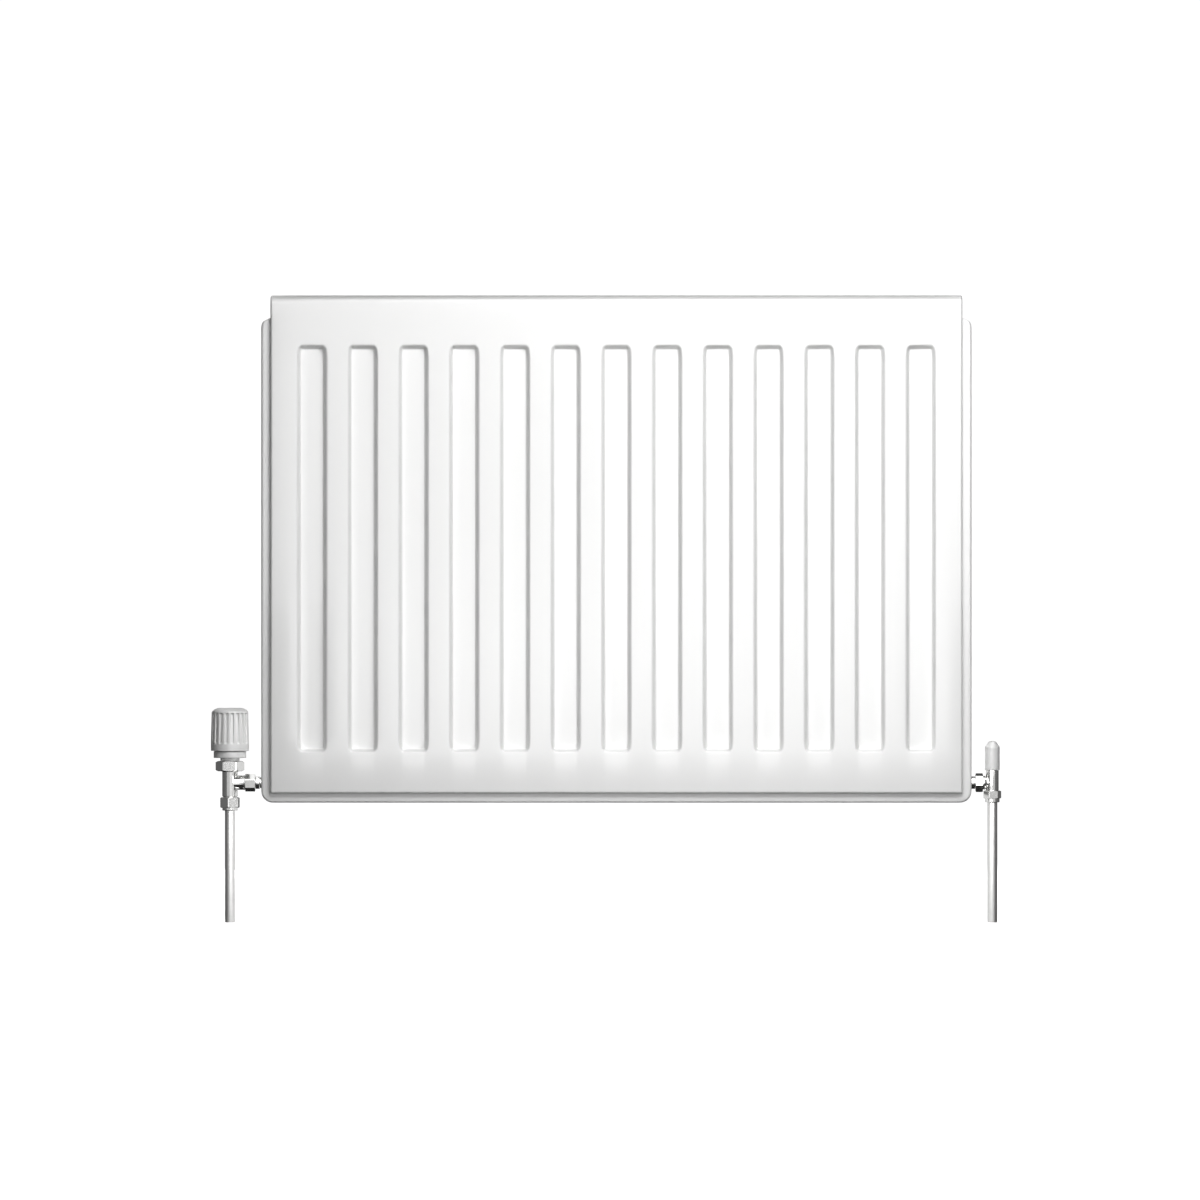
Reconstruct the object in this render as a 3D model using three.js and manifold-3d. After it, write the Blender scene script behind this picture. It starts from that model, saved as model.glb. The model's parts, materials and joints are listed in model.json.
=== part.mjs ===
// A steel panel radiator with its convector, wall brackets, tappings and two microbore valves.
// Millimetres, +Z up, +Y towards the wall. The model is worked out with x = 0 at the middle of the
// panel, y = 0 on its front face and z = 0 at the cut pipe ends, and moved to its origin at the end.
import * as THREE from 'three';
import { mergeVertices } from 'three/addons/utils/BufferGeometryUtils.js';
import Module from 'manifold-3d';

const wasm = await Module();
wasm.setup();

// ---- Driving dimensions --------------------------------------------------------------------

const PANEL_LENGTH = 700;
const PANEL_HEIGHT = 500;
const PANEL_BOTTOM = 118.5;
const PANEL_DEPTH = 18;
const SHEET = 1.25;
const GAP = 0.3;
const WALL_Y = 80;

const PANEL_TOP = PANEL_BOTTOM + PANEL_HEIGHT;
const PANEL_HALF = PANEL_LENGTH / 2;
const RIM_WIDTH = 9.3;
const FACE_HALF = PANEL_HALF - RIM_WIDTH;
const FACE_BOTTOM = PANEL_BOTTOM + 9.5;
const ROLL_RADIUS = PANEL_DEPTH / 2;
const LIP_Z = PANEL_TOP - 22.4;
const RIM_CORNER = 15;
const FLANGE_Y = 7.6;
const HEM_Y = 12;
const HEM_LIP = 3;
const EDGE_ROUND = 4.5;

const VALLEY_COUNT = 13;
const VALLEY_PITCH = 49.95;
const VALLEY_BOTTOM = PANEL_BOTTOM + 48.3;
const VALLEY_TOP = PANEL_TOP - 49.9;
const VALLEY_FLOOR = 18.3;
const VALLEY_SLOPE = 5.3;
const VALLEY_DEPTH = 7.5;
const VALLEY_CORNER = [2, 7];

const PORT_Y = 31.5;
const LOWER_PORT_Z = 138;
const UPPER_PORT_Z = PANEL_TOP - 38;
const BUSH_FACE = 334;
const BUSH_LENGTH = 22;
const BUSH_RADIUS = 13;
const THREAD_RADIUS = 10.3;
const THREAD_DEPTH = 16;
const PORT_RADIUS = 5;

const CONVECTOR_SHEET = 0.8;
const CONVECTOR_CREST = 46;
const CONVECTOR_TOP = PANEL_TOP - 68;
const CONVECTOR_BOTTOM = PANEL_BOTTOM + 56;
const CONVECTOR_FOOT = 15;
const CONVECTOR_LEAN = 2;
const CHANNELS_PER_SHEET = 3;

const LUG_X = 4.5 * VALLEY_PITCH;
const LUG_SHEET = 3;
const LUG_HEIGHT = 21;
const LUG_SPAN = 34;
const LUG_FOOT = 13;
const LUG_BRIDGE_Y = 30;
const UPPER_LUG_Z = PANEL_TOP - 48.4;
const LOWER_LUG_Z = PANEL_BOTTOM + 20;

const BRACKET_SHEET = 2.5;
const BRACKET_FLANGE = 30;
const BRACKET_SPINE = 18;
const ARM_TIP_Y = 23.5;
const ARM_DEPTH = 11;
const ARM_RISE = 13;
const INSERT_WALL = 1;
const INSERT_WIDTH = 8;
const SCREW_SLOT_RADIUS = 4;
const SCREW_SLOT_LENGTH = 12;

const PIPE_RADIUS = 5;
const PIPE_WALL = 0.7;
const TRV_X = -381.6;
const LOCKSHIELD_X = 371.3;

const TURN = 2 * Math.PI;
const COARSE = 12;
const FINE = 18;

// ---- Materials -----------------------------------------------------------------------------

const finish = (color, roughness, metalness) => (
  new THREE.MeshStandardMaterial({ color, roughness, metalness })
);
const whitePaint = () => finish(0xf1f1ef, 0.3, 0);
const chrome = () => finish(0xc9cbcd, 0.12, 1);
const brass = () => finish(0xb8924a, 0.35, 1);
const copperPipe = () => finish(0xc3c5c6, 0.2, 1);
const springSteel = () => finish(0x9a9da0, 0.3, 1);
const whitePlastic = () => finish(0xe9e9e6, 0.42, 0);
const greyPlastic = () => finish(0xb9babb, 0.5, 0);
const rubber = () => finish(0x1b1b1c, 0.85, 0);

// ---- Solids --------------------------------------------------------------------------------

/** Turns a closed three.js geometry into a solid that can be joined and cut. */
function solid(geometry) {
  const bare = geometry.clone();
  bare.deleteAttribute('normal');
  bare.deleteAttribute('uv');
  const merged = mergeVertices(bare, 1e-4);
  const index = merged.index.array;
  const triangles = [];
  for (let i = 0; i < index.length; i += 3) {
    const [a, b, c] = [index[i], index[i + 1], index[i + 2]];
    if (a !== b && b !== c && c !== a) triangles.push(a, b, c);
  }
  return new wasm.Manifold(new wasm.Mesh({
    numProp: 3,
    vertProperties: new Float32Array(merged.attributes.position.array),
    triVerts: new Uint32Array(triangles),
  }));
}

/** Turns a solid back into a geometry that a mesh can show. */
function geometryOf(body) {
  const mesh = body.getMesh();
  const geometry = new THREE.BufferGeometry();
  geometry.setAttribute('position', new THREE.BufferAttribute(mesh.vertProperties, 3));
  geometry.setIndex(new THREE.BufferAttribute(mesh.triVerts, 1));
  geometry.computeVertexNormals();
  return geometry;
}

const join = (...bodies) => bodies.reduce((sum, body) => sum.add(body));
const cut = (body, ...tools) => tools.reduce((left, tool) => left.subtract(tool), body);

/** A polygon of [a, b] pairs as a shape. */
function outline(points) {
  return new THREE.Shape(points.map(([a, b]) => new THREE.Vector2(a, b)));
}

/** A shape drawn in x and z, thick from y0 to y1. */
function plateY(shape, y0, y1, curveSegments = 4) {
  const geometry = new THREE.ExtrudeGeometry(shape, {
    depth: y1 - y0, bevelEnabled: false, curveSegments,
  });
  return geometry.rotateX(Math.PI / 2).translate(0, y1, 0);
}

/** A shape drawn in y and z, thick from x0 to x1. */
function plateX(shape, x0, x1, curveSegments = 4) {
  const geometry = new THREE.ExtrudeGeometry(shape, {
    depth: x1 - x0, bevelEnabled: false, curveSegments,
  });
  const basis = new THREE.Matrix4().makeBasis(
    new THREE.Vector3(0, 1, 0), new THREE.Vector3(0, 0, 1), new THREE.Vector3(1, 0, 0));
  return geometry.applyMatrix4(basis).translate(x0, 0, 0);
}

/** A shape drawn in x and y, thick from z0 to z1. */
function plateZ(shape, z0, z1) {
  const geometry = new THREE.ExtrudeGeometry(shape, { depth: z1 - z0, bevelEnabled: false });
  return geometry.translate(0, 0, z0);
}

/** A box between two corners. */
function box([x0, y0, z0], [x1, y1, z1]) {
  const geometry = new THREE.BoxGeometry(x1 - x0, y1 - y0, z1 - z0);
  return geometry.translate((x0 + x1) / 2, (y0 + y1) / 2, (z0 + z1) / 2);
}

/** A turned piece about z. The profile is a list of [radius, z] that goes round the section. */
function turned(profile, segments = COARSE) {
  let area = 0;
  profile.forEach(([r, z], i) => {
    const [nextR, nextZ] = profile[(i + 1) % profile.length];
    area += r * nextZ - nextR * z;
  });
  const points = (area < 0 ? [...profile].reverse() : [...profile])
    .map(([r, z]) => new THREE.Vector2(r, z));
  points.push(points[0].clone());
  return new THREE.LatheGeometry(points, segments).rotateX(Math.PI / 2);
}

/** A turned rod from z0 to z1. */
function rod(radius, z0, z1, segments = COARSE) {
  const geometry = new THREE.CylinderGeometry(radius, radius, z1 - z0, segments);
  return geometry.rotateX(Math.PI / 2).translate(0, 0, (z0 + z1) / 2);
}

/** A ring of rectangular section. */
function ring(inner, outer, z0, z1, segments = COARSE) {
  return turned([[inner, z0], [outer, z0], [outer, z1], [inner, z1]], segments);
}

/** A hexagonal bar about z, by its radius over the corners. */
function hexagon(corner, z0, z1, turn = 0) {
  return rod(corner, z0, z1, 6).rotateZ(Math.PI / 2 + turn);
}

/** Lays a piece made about z along +x or -x. */
const alongX = (geometry, side = 1) => geometry.rotateY(side * Math.PI / 2);

// ---- The assembly --------------------------------------------------------------------------

const radiator = new THREE.Group();

/** Adds one named piece to the assembly. */
function add(name, shape, material, position = [0, 0, 0]) {
  const geometry = shape.isBufferGeometry ? shape : geometryOf(shape);
  const mesh = new THREE.Mesh(geometry, material);
  mesh.name = name;
  mesh.position.set(...position);
  radiator.add(mesh);
}

// ---- Panel ---------------------------------------------------------------------------------

/** The outline of the seam rim, which runs down both sides and along the bottom. */
function rimOutline(inset, top) {
  const half = PANEL_HALF - inset;
  const bottom = PANEL_BOTTOM + inset;
  const corner = RIM_CORNER - inset;
  const shape = new THREE.Shape();
  shape.moveTo(-half + corner, bottom);
  shape.lineTo(half - corner, bottom);
  shape.absarc(half - corner, bottom + corner, corner, -Math.PI / 2, 0);
  shape.lineTo(half, top - 10);
  shape.lineTo(half - 3.5, top - 2);
  shape.lineTo(half - 9, top);
  shape.lineTo(-half + 9, top);
  shape.lineTo(-half + 3.5, top - 2);
  shape.lineTo(-half, top - 10);
  shape.absarc(-half + corner, bottom + corner, corner, Math.PI, 1.5 * Math.PI);
  return shape;
}

/** The face seen from above, with its long vertical edges rounded. */
function facePlan(inset, y0, y1) {
  const half = FACE_HALF - inset;
  const round = EDGE_ROUND;
  return outline([
    [-half, y1], [-half, y0 + round], [-half + 0.3 * round, y0 + 0.3 * round],
    [-half + round, y0], [half - round, y0], [half - 0.3 * round, y0 + 0.3 * round],
    [half, y0 + round], [half, y1],
  ]);
}

/** The rolled section of the front sheet, open to the back below the lip. */
function rolledSection(inset, back) {
  const shape = new THREE.Shape();
  const crown = PANEL_TOP - ROLL_RADIUS;
  const radius = ROLL_RADIUS - inset;
  const lip = LIP_Z - inset;
  shape.moveTo(inset, FACE_BOTTOM + inset);
  shape.lineTo(back, FACE_BOTTOM + inset);
  shape.lineTo(back, lip);
  shape.lineTo(PANEL_DEPTH - inset, lip);
  shape.lineTo(PANEL_DEPTH - inset, crown);
  shape.absarc(ROLL_RADIUS, crown, radius, 0, Math.PI);
  return shape;
}

/** A pressed valley as a cutting tool: tapered, with its floor inside the panel. */
function valleyTool(x, grow, fromBack) {
  const lean = VALLEY_SLOPE / VALLEY_DEPTH;
  const depth = VALLEY_DEPTH + grow;
  const spread = grow * (Math.hypot(1, lean) - lean);
  const half = VALLEY_FLOOR / 2 + spread;
  const tall = (VALLEY_TOP - VALLEY_BOTTOM) / 2 - VALLEY_SLOPE + spread;
  const [nip, run] = VALLEY_CORNER;
  const shape = outline([
    [-half + nip, -tall], [half - nip, -tall], [half, -tall + run], [half, tall - run],
    [half - nip, tall], [-half + nip, tall], [-half, tall - run], [-half, -tall + run],
  ]);
  const geometry = new THREE.ExtrudeGeometry(shape, {
    depth: 1, bevelEnabled: true, bevelSegments: 1, bevelThickness: depth, bevelSize: lean * depth,
  });
  geometry.rotateX(fromBack ? -Math.PI / 2 : Math.PI / 2);
  const middle = (VALLEY_TOP + VALLEY_BOTTOM) / 2;
  return geometry.translate(x, fromBack ? PANEL_DEPTH : 0, middle);
}

const valleyCentres = Array.from({ length: VALLEY_COUNT }, (_, i) => (
  (i - (VALLEY_COUNT - 1) / 2) * VALLEY_PITCH
));
const valleys = (grow, fromBack) => (
  join(...valleyCentres.map((x) => solid(valleyTool(x, grow, fromBack))))
);

function frontPanel() {
  const seam = FLANGE_Y + SHEET;
  const plan = solid(plateZ(facePlan(0, 0, 40), 0, PANEL_TOP + 1));
  const face = solid(plateX(rolledSection(0, seam), -PANEL_HALF, PANEL_HALF, 5)).intersect(plan);
  const rim = cut(
    solid(plateY(rimOutline(0, LIP_Z), FLANGE_Y, HEM_Y)),
    solid(plateY(rimOutline(SHEET, LIP_Z + 1), seam, HEM_Y - SHEET)),
    solid(plateY(rimOutline(SHEET + HEM_LIP, LIP_Z + 3), seam, HEM_Y + 1)),
  );
  const innerPlan = solid(plateZ(facePlan(SHEET, SHEET, 40), 0, PANEL_TOP + 1));
  const hollow = solid(plateX(rolledSection(SHEET, seam + 1), -PANEL_HALF, PANEL_HALF, 5))
    .intersect(innerPlan);
  const cavity = cut(hollow, valleys(SHEET, false));
  return cut(join(face, rim), cavity, valleys(0, false));
}

function rearPanel() {
  const seam = FLANGE_Y + SHEET + GAP;
  const top = LIP_Z - GAP;
  const inner = FACE_HALF - SHEET;
  const tabY = PANEL_DEPTH - 2 * SHEET - GAP;
  const tray = solid(box([-FACE_HALF, seam, FACE_BOTTOM], [FACE_HALF, PANEL_DEPTH, top]));
  const flange = solid(plateY(rimOutline(SHEET + GAP, top), seam, seam + SHEET));
  const hollow = solid(box([-inner, seam - 1, FACE_BOTTOM + SHEET],
    [inner, PANEL_DEPTH - SHEET, top + 1]));
  const step = solid(box([-inner - SHEET / 2, tabY, top - 3.5],
    [inner + SHEET / 2, PANEL_DEPTH - SHEET / 2, top - 2]));
  const tab = solid(box([-inner + 1, tabY, top - 3.5], [inner - 1, tabY + SHEET, LIP_Z + 9]));
  const ports = [-1, 1].flatMap((side) => [LOWER_PORT_Z, UPPER_PORT_Z].map((z) => (
    solid(rod(PORT_RADIUS, -4, 4).rotateX(Math.PI / 2)
      .translate(side * (BUSH_FACE - BUSH_LENGTH / 2), PANEL_DEPTH, z))
  )));
  const shell = cut(join(tray, flange), cut(hollow, valleys(SHEET, true)), valleys(0, true));
  return cut(join(shell, step, tab), ...ports);
}

add('front_panel', frontPanel(), whitePaint());
add('rear_panel', rearPanel(), whitePaint());

// ---- Convector: folded sheets on the backs of the water channels ----------------------------

/** The section of one folded sheet: a foot on each channel, a crest over each valley. */
function convectorSection(firstChannel) {
  const low = PANEL_DEPTH + GAP;
  const high = CONVECTOR_CREST;
  const sheet = CONVECTOR_SHEET;
  const foot = CONVECTOR_FOOT / 2;
  const shoulder = foot + CONVECTOR_LEAN;
  const overhang = (VALLEY_PITCH - 1) / 2;
  const centres = Array.from({ length: CHANNELS_PER_SHEET }, (_, i) => (
    (firstChannel + i - (VALLEY_COUNT - 2) / 2) * VALLEY_PITCH
  ));
  const start = centres[0] - overhang;
  const end = centres[CHANNELS_PER_SHEET - 1] + overhang;
  const towardsPanel = centres.flatMap((x) => [
    [x - shoulder, high - sheet], [x - foot, low], [x + foot, low], [x + shoulder, high - sheet],
  ]);
  const towardsWall = centres.flatMap((x) => [
    [x - shoulder + sheet, high], [x - foot + sheet, low + sheet],
    [x + foot - sheet, low + sheet], [x + shoulder - sheet, high],
  ]);
  return outline([
    [start, high - sheet], ...towardsPanel, [end, high - sheet],
    [end, high], ...towardsWall.reverse(), [start, high],
  ]);
}

for (let i = 0; i * CHANNELS_PER_SHEET < VALLEY_COUNT - 1; i += 1) {
  const section = convectorSection(i * CHANNELS_PER_SHEET);
  add(`convector_${i + 1}`, plateZ(section, CONVECTOR_BOTTOM, CONVECTOR_TOP), whitePaint());
}

// ---- Hanging lugs and wall brackets ---------------------------------------------------------

/** A hat-shaped strap welded to the back of a header. */
function lug() {
  const low = PANEL_DEPTH + GAP;
  const bridge = LUG_BRIDGE_Y;
  const half = LUG_SPAN / 2;
  const sheet = LUG_SHEET;
  const wide = half + LUG_FOOT;
  return plateZ(outline([
    [-wide, low], [-half, low], [-half, bridge], [half, bridge], [half, low], [wide, low],
    [wide, low + sheet], [half + sheet, low + sheet], [half + sheet, bridge + sheet],
    [-half - sheet, bridge + sheet], [-half - sheet, low + sheet], [-wide, low + sheet],
  ]), 0, LUG_HEIGHT);
}

const lugHeights = { upper: UPPER_LUG_Z, lower: LOWER_LUG_Z };
const sides = { left: -1, right: 1 };

/** The steel plate with its two notched arms, and the flange that lies on the wall. */
function wallBracket() {
  const notchHalf = LUG_SHEET / 2 + 2 * GAP + INSERT_WALL;
  const notchY = LUG_BRIDGE_Y + LUG_SHEET / 2;
  const spine = WALL_Y - BRACKET_SPINE;
  const arm = (lugZ) => {
    const floor = lugZ - 2 * GAP - INSERT_WALL;
    return outline([
      [ARM_TIP_Y, floor - 2], [ARM_TIP_Y + 5, floor - ARM_DEPTH], [spine, floor - ARM_DEPTH],
      [WALL_Y, floor - ARM_DEPTH - 8], [WALL_Y, floor + ARM_RISE], [notchY + notchHalf + 8, floor + 5],
      [notchY + notchHalf, floor + 5], [notchY + notchHalf, floor],
      [notchY - notchHalf, floor], [notchY - notchHalf, floor + ARM_RISE - 1],
      [ARM_TIP_Y + 1, floor + ARM_RISE - 1],
    ]);
  };
  const plate = Object.values(lugHeights).map((z) => (
    solid(plateX(arm(z), 0, BRACKET_SHEET))
  ));
  const low = LOWER_LUG_Z - ARM_DEPTH - 10;
  const high = UPPER_LUG_Z + ARM_RISE;
  const spinePlate = solid(box([0, spine, low], [BRACKET_SHEET, WALL_Y, high]));
  const flange = solid(box([0, WALL_Y - BRACKET_SHEET, low], [BRACKET_FLANGE, WALL_Y, high]));
  const slots = [low + 30, high - 30].map((z) => {
    const slot = new THREE.Shape();
    const half = (SCREW_SLOT_LENGTH - 2 * SCREW_SLOT_RADIUS) / 2;
    slot.absarc(0, half, SCREW_SLOT_RADIUS, 0, Math.PI);
    slot.absarc(0, -half, SCREW_SLOT_RADIUS, Math.PI, TURN);
    return solid(plateY(slot, WALL_Y - 10, WALL_Y + 1).translate(BRACKET_FLANGE * 0.6, 0, z));
  });
  return cut(join(spinePlate, flange, ...plate), ...slots);
}

/** The moulded liner in a bracket's notch, on which the lug sits. */
function bracketInsert() {
  const inner = LUG_SHEET / 2 + GAP;
  const outer = inner + INSERT_WALL;
  return plateX(outline([
    [-outer, -INSERT_WALL], [outer, -INSERT_WALL], [outer, 5.5], [inner, 5.5],
    [inner, 0], [-inner, 0], [-inner, 9], [-outer, 9],
  ]), -INSERT_WIDTH / 2, INSERT_WIDTH / 2);
}

Object.entries(sides).forEach(([side, sign]) => {
  const x = sign * LUG_X;
  Object.entries(lugHeights).forEach(([level, z]) => {
    add(`lug_${level}_${side}`, lug(), whitePaint(), [x, 0, z]);
    add(`bracket_insert_${level}_${side}`, bracketInsert(), whitePlastic(),
      [x, LUG_BRIDGE_Y + LUG_SHEET / 2, z - GAP]);
  });
  add(`wall_bracket_${side}`, wallBracket(), whitePaint(), [x - BRACKET_SHEET / 2, 0, 0]);
});

// ---- Tappings, plugs and air vent -----------------------------------------------------------

/** A threaded bush behind a corner of the panel, with its side port into the header. */
function tapping(sign) {
  const saddle = solid(box([-9, -PORT_Y + PANEL_DEPTH + GAP, -9], [9, -4, 9]));
  const barrel = solid(alongX(rod(BUSH_RADIUS, -BUSH_LENGTH / 2, BUSH_LENGTH / 2, FINE)));
  const depth = BUSH_LENGTH / 2 - THREAD_DEPTH;
  const bore = solid(alongX(rod(THREAD_RADIUS + GAP, depth, BUSH_LENGTH, FINE), sign));
  const port = solid(rod(PORT_RADIUS, 0, 20).rotateX(Math.PI / 2));
  return cut(join(barrel, saddle), bore, port);
}

const portHeights = { lower: LOWER_PORT_Z, upper: UPPER_PORT_Z };
Object.entries(sides).forEach(([side, sign]) => {
  Object.entries(portHeights).forEach(([level, z]) => {
    const x = sign * (BUSH_FACE - BUSH_LENGTH / 2);
    add(`tapping_${level}_${side}`, tapping(sign), whitePaint(), [x, PORT_Y, z]);
  });
});

const SEAL_THICK = 1.6;
const PLUG_HEAD = 6.5;
const PLUG_THREAD = 12;
const plugHeadStart = GAP + SEAL_THICK + GAP;

/** A plug that screws into a tapping; z = 0 is the tapping's face and +z points outwards. */
function plugBody() {
  return turned([
    [0, -PLUG_THREAD], [THREAD_RADIUS, -PLUG_THREAD], [THREAD_RADIUS, plugHeadStart],
    [BUSH_RADIUS, plugHeadStart], [BUSH_RADIUS, plugHeadStart + 2.5],
    [10, plugHeadStart + 2.5], [10, plugHeadStart + PLUG_HEAD], [0, plugHeadStart + PLUG_HEAD],
  ], FINE);
}
const plugSeal = () => ring(THREAD_RADIUS + GAP, BUSH_RADIUS - 0.2, GAP, GAP + SEAL_THICK, FINE);

function blankingPlug() {
  const socket = solid(hexagon(5.5, plugHeadStart, plugHeadStart + PLUG_HEAD + 1));
  return geometryOf(cut(solid(plugBody()), socket));
}

function ventPlug() {
  const end = plugHeadStart + PLUG_HEAD;
  const screwBore = solid(rod(3.2, -6, end + 1));
  const waterWay = solid(rod(1, -PLUG_THREAD - 1, 0));
  const outlet = solid(rod(0.9, 0, 14).rotateX(-Math.PI / 2).translate(0, 0, end - 2));
  return geometryOf(cut(solid(plugBody()), screwBore, waterWay, outlet));
}

/** The bleed screw: a cone point, a thread and a square head for the key. */
function bleedScrew() {
  const end = plugHeadStart + PLUG_HEAD;
  const shank = turned([[0, -5.4], [2.4, -3], [2.4, end - 3.2], [0, end - 3.2]]);
  const head = rod(2.7, end - 3.3, end + 2.6, 4).rotateZ(Math.PI / 4);
  return geometryOf(join(solid(shank), solid(head)));
}

const upperLeft = [-BUSH_FACE, PORT_Y, UPPER_PORT_Z];
const upperRight = [BUSH_FACE, PORT_Y, UPPER_PORT_Z];
add('blanking_plug', alongX(blankingPlug(), -1), chrome(), upperLeft);
add('blanking_seal', alongX(plugSeal(), -1), rubber(), upperLeft);
add('vent_plug', alongX(ventPlug()), chrome(), upperRight);
add('vent_seal', alongX(plugSeal()), rubber(), upperRight);
add('bleed_screw', alongX(bleedScrew()), brass(), upperRight);

// ---- Pieces that both valves share ----------------------------------------------------------

const UNION_THREAD = 6.6;
const TAIL_NECK = 4.8;
const TAIL_BORE = 3.4;

/** A union nut along +x, from s0 to s1, with the shoulder that pulls the tail in. */
function unionNut(corner, s0, s1, turn) {
  const bar = solid(hexagon(corner, s0, s1, turn));
  const threadBore = solid(rod(UNION_THREAD + GAP, s0 - 1, s1 - 2.4));
  const shoulderBore = solid(rod(TAIL_NECK + GAP, s0, s1 + 1));
  return geometryOf(cut(bar, threadBore, shoulderBore));
}

/** A tail that joins the valve to the tapping, from its union collar to its thread. */
function tailPiece(collar, nutEnd, face) {
  return turned([
    [TAIL_BORE, collar], [UNION_THREAD - 0.2, collar], [UNION_THREAD - 0.2, nutEnd - 2.8],
    [TAIL_NECK, nutEnd - 2.8], [TAIL_NECK, nutEnd + 0.4], [6.1, nutEnd + 0.4],
    [6.1, nutEnd + 4.2], [5.3, nutEnd + 4.6], [5.3, face - 6.6], [12, face - 6.6], [12, face - GAP],
    [THREAD_RADIUS, face - GAP], [THREAD_RADIUS, face + 13], [TAIL_BORE, face + 13],
  ], FINE);
}

/** A compression nut with its round lower collar, round the pipe. */
function compressionNut(corner, thread, top, shoulder, bottom, collarRadius, collarBottom, turn) {
  const bar = solid(hexagon(corner, bottom, top, turn));
  const collar = solid(rod(collarRadius, collarBottom, bottom + 1, FINE));
  const threadBore = solid(rod(thread + GAP, shoulder, top + 1));
  const pipeBore = solid(rod(PIPE_RADIUS + GAP, collarBottom - 1, top));
  return geometryOf(cut(join(bar, collar), threadBore, pipeBore));
}

/** A compression olive, bevelled towards both ends. */
function olive(outer, z0, z1) {
  const inner = PIPE_RADIUS + 0.2;
  return turned([
    [inner, z0], [outer - 0.6, z0], [outer, z0 + 0.9], [outer, z1 - 0.9],
    [outer - 0.6, z1], [inner, z1],
  ], FINE);
}

/** A cut length of pipe from the floor up to a valve body. */
const pipe = (top) => ring(PIPE_RADIUS - PIPE_WALL, PIPE_RADIUS, -LOWER_PORT_Z, top, FINE);

// ---- Thermostatic valve ---------------------------------------------------------------------

const TRV = {
  bodyRadius: 7.65,
  bodyTop: 17,
  union: [15, 25],
  seat: 19.9,
  olive: [-22.9, -20.3],
  nut: [-24.9, -14.5],
  nutCollar: -27.5,
  collarNut: [11.3, 21.4],
  base: 24.5,
  tube: 11.5,
  wheel: [31.5, 73.9],
  ribs: [37.7, 68.7],
};
const trvPlace = [TRV_X, PORT_Y, LOWER_PORT_Z];

function trvBody() {
  const barrel = turned([
    [0, -20], [7.1, -20], [7.1, -13.6], [TRV.bodyRadius, -13.2], [TRV.bodyRadius, 10.9],
    [10.4, 12], [10.4, TRV.bodyTop], [0, TRV.bodyTop],
  ], FINE);
  const branch = alongX(turned([
    [0, 0], [7, 0], [7, 13.4], [7.4, 13.8], [7.4, 14.4], [UNION_THREAD, 14.7],
    [UNION_THREAD, TRV.seat], [0, TRV.seat],
  ], FINE));
  const chamber = solid(rod(5.9, -3.5, TRV.bodyTop + 1));
  const seatBore = solid(rod(3.2, -18, 0));
  const pipeSocket = solid(rod(PIPE_RADIUS + GAP, -21, -15.7));
  const outlet = solid(alongX(rod(3.6, 0, TRV.seat + 1)));
  return cut(join(solid(barrel), solid(branch)), chamber, seatBore, pipeSocket, outlet);
}

/** The screwed insert that guides the spindle and holds the return spring. */
const trvInsert = () => turned([
  [1.5, 4], [5.6, 4], [5.6, 16.7], [1.5, 16.7], [1.5, 13.2], [3.8, 13.2], [3.8, 5.5], [1.5, 5.5],
]);

const trvSpindle = () => turned([
  [0, -2.2], [4.4, -2.2], [4.4, -0.6], [1.2, -0.6], [1.2, 10.4], [3.2, 10.4], [3.2, 11.4],
  [1.2, 11.4], [1.2, 19.6], [0, 19.6],
]);

/** A compression spring between the insert's floor and the spindle's collar. */
function returnSpring() {
  const [bottom, top, meanRadius, wire, turns] = [5.9, 10.0, 2.45, 0.32, 3.5];
  class Helix extends THREE.Curve {
    getPoint(t, target = new THREE.Vector3()) {
      const angle = t * turns * TURN;
      const z = bottom + wire + t * (top - bottom - 2 * wire);
      return target.set(meanRadius * Math.cos(angle), meanRadius * Math.sin(angle), z);
    }
  }
  const section = new THREE.Shape();
  section.absarc(0, 0, wire, 0, TURN);
  return new THREE.ExtrudeGeometry(section, {
    extrudePath: new Helix(), steps: 32, curveSegments: 3, bevelEnabled: false,
  });
}

function collarNut() {
  const [low, high] = TRV.collarNut;
  const bar = solid(hexagon(14.4, low, high));
  return cut(bar, solid(rod(10.8, low - 1, high - 1.7, FINE)), solid(rod(8.3, low, high + 1, FINE)));
}

/** The head's base: a collar under the nut, a dial ring and the tube that the wheel turns on. */
const headBase = () => turned([
  [4.2, 17.4], [10.4, 17.4], [10.4, 19.3], [8, 19.3], [8, 21.7], [9.5, 21.7], [9.5, TRV.base],
  [16.1, TRV.base], [16.1, 31.2], [TRV.tube, 31.2], [TRV.tube, 58], [9, 58], [9, 22.9], [4.2, 22.9],
], FINE);

/** The wax sensor capsule with its push pin. */
const sensor = () => turned([
  [0, 20], [2, 20], [2, 28.5], [7.6, 28.5], [7.6, 54], [6.4, 56], [0, 56],
]);

/** The ribbed handwheel: a hollow cap with an inner sleeve on the head's tube. */
function handwheel() {
  const [low, high] = TRV.wheel;
  const cap = solid(turned([
    [0, low], [18.8, low], [18.85, TRV.ribs[0]], [18.1, TRV.ribs[1]], [17.9, high - 4],
    [16, high - 1.2], [12.6, high], [0, high],
  ], 20));
  const wall = solid(ring(14.4, 16.2, low - 1, high - 5, 20));
  const middle = solid(rod(TRV.tube + 0.4, low - 1, high - 5, 20));
  const grooves = Array.from({ length: 20 }, (_, i) => {
    const groove = plateZ(outline([[16.9, 0], [20, -1.8], [20, 1.8]]), ...TRV.ribs);
    return solid(groove.rotateZ((i + 0.5) * TURN / 20));
  });
  return cut(cap, wall, middle, ...grooves);
}

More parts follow.
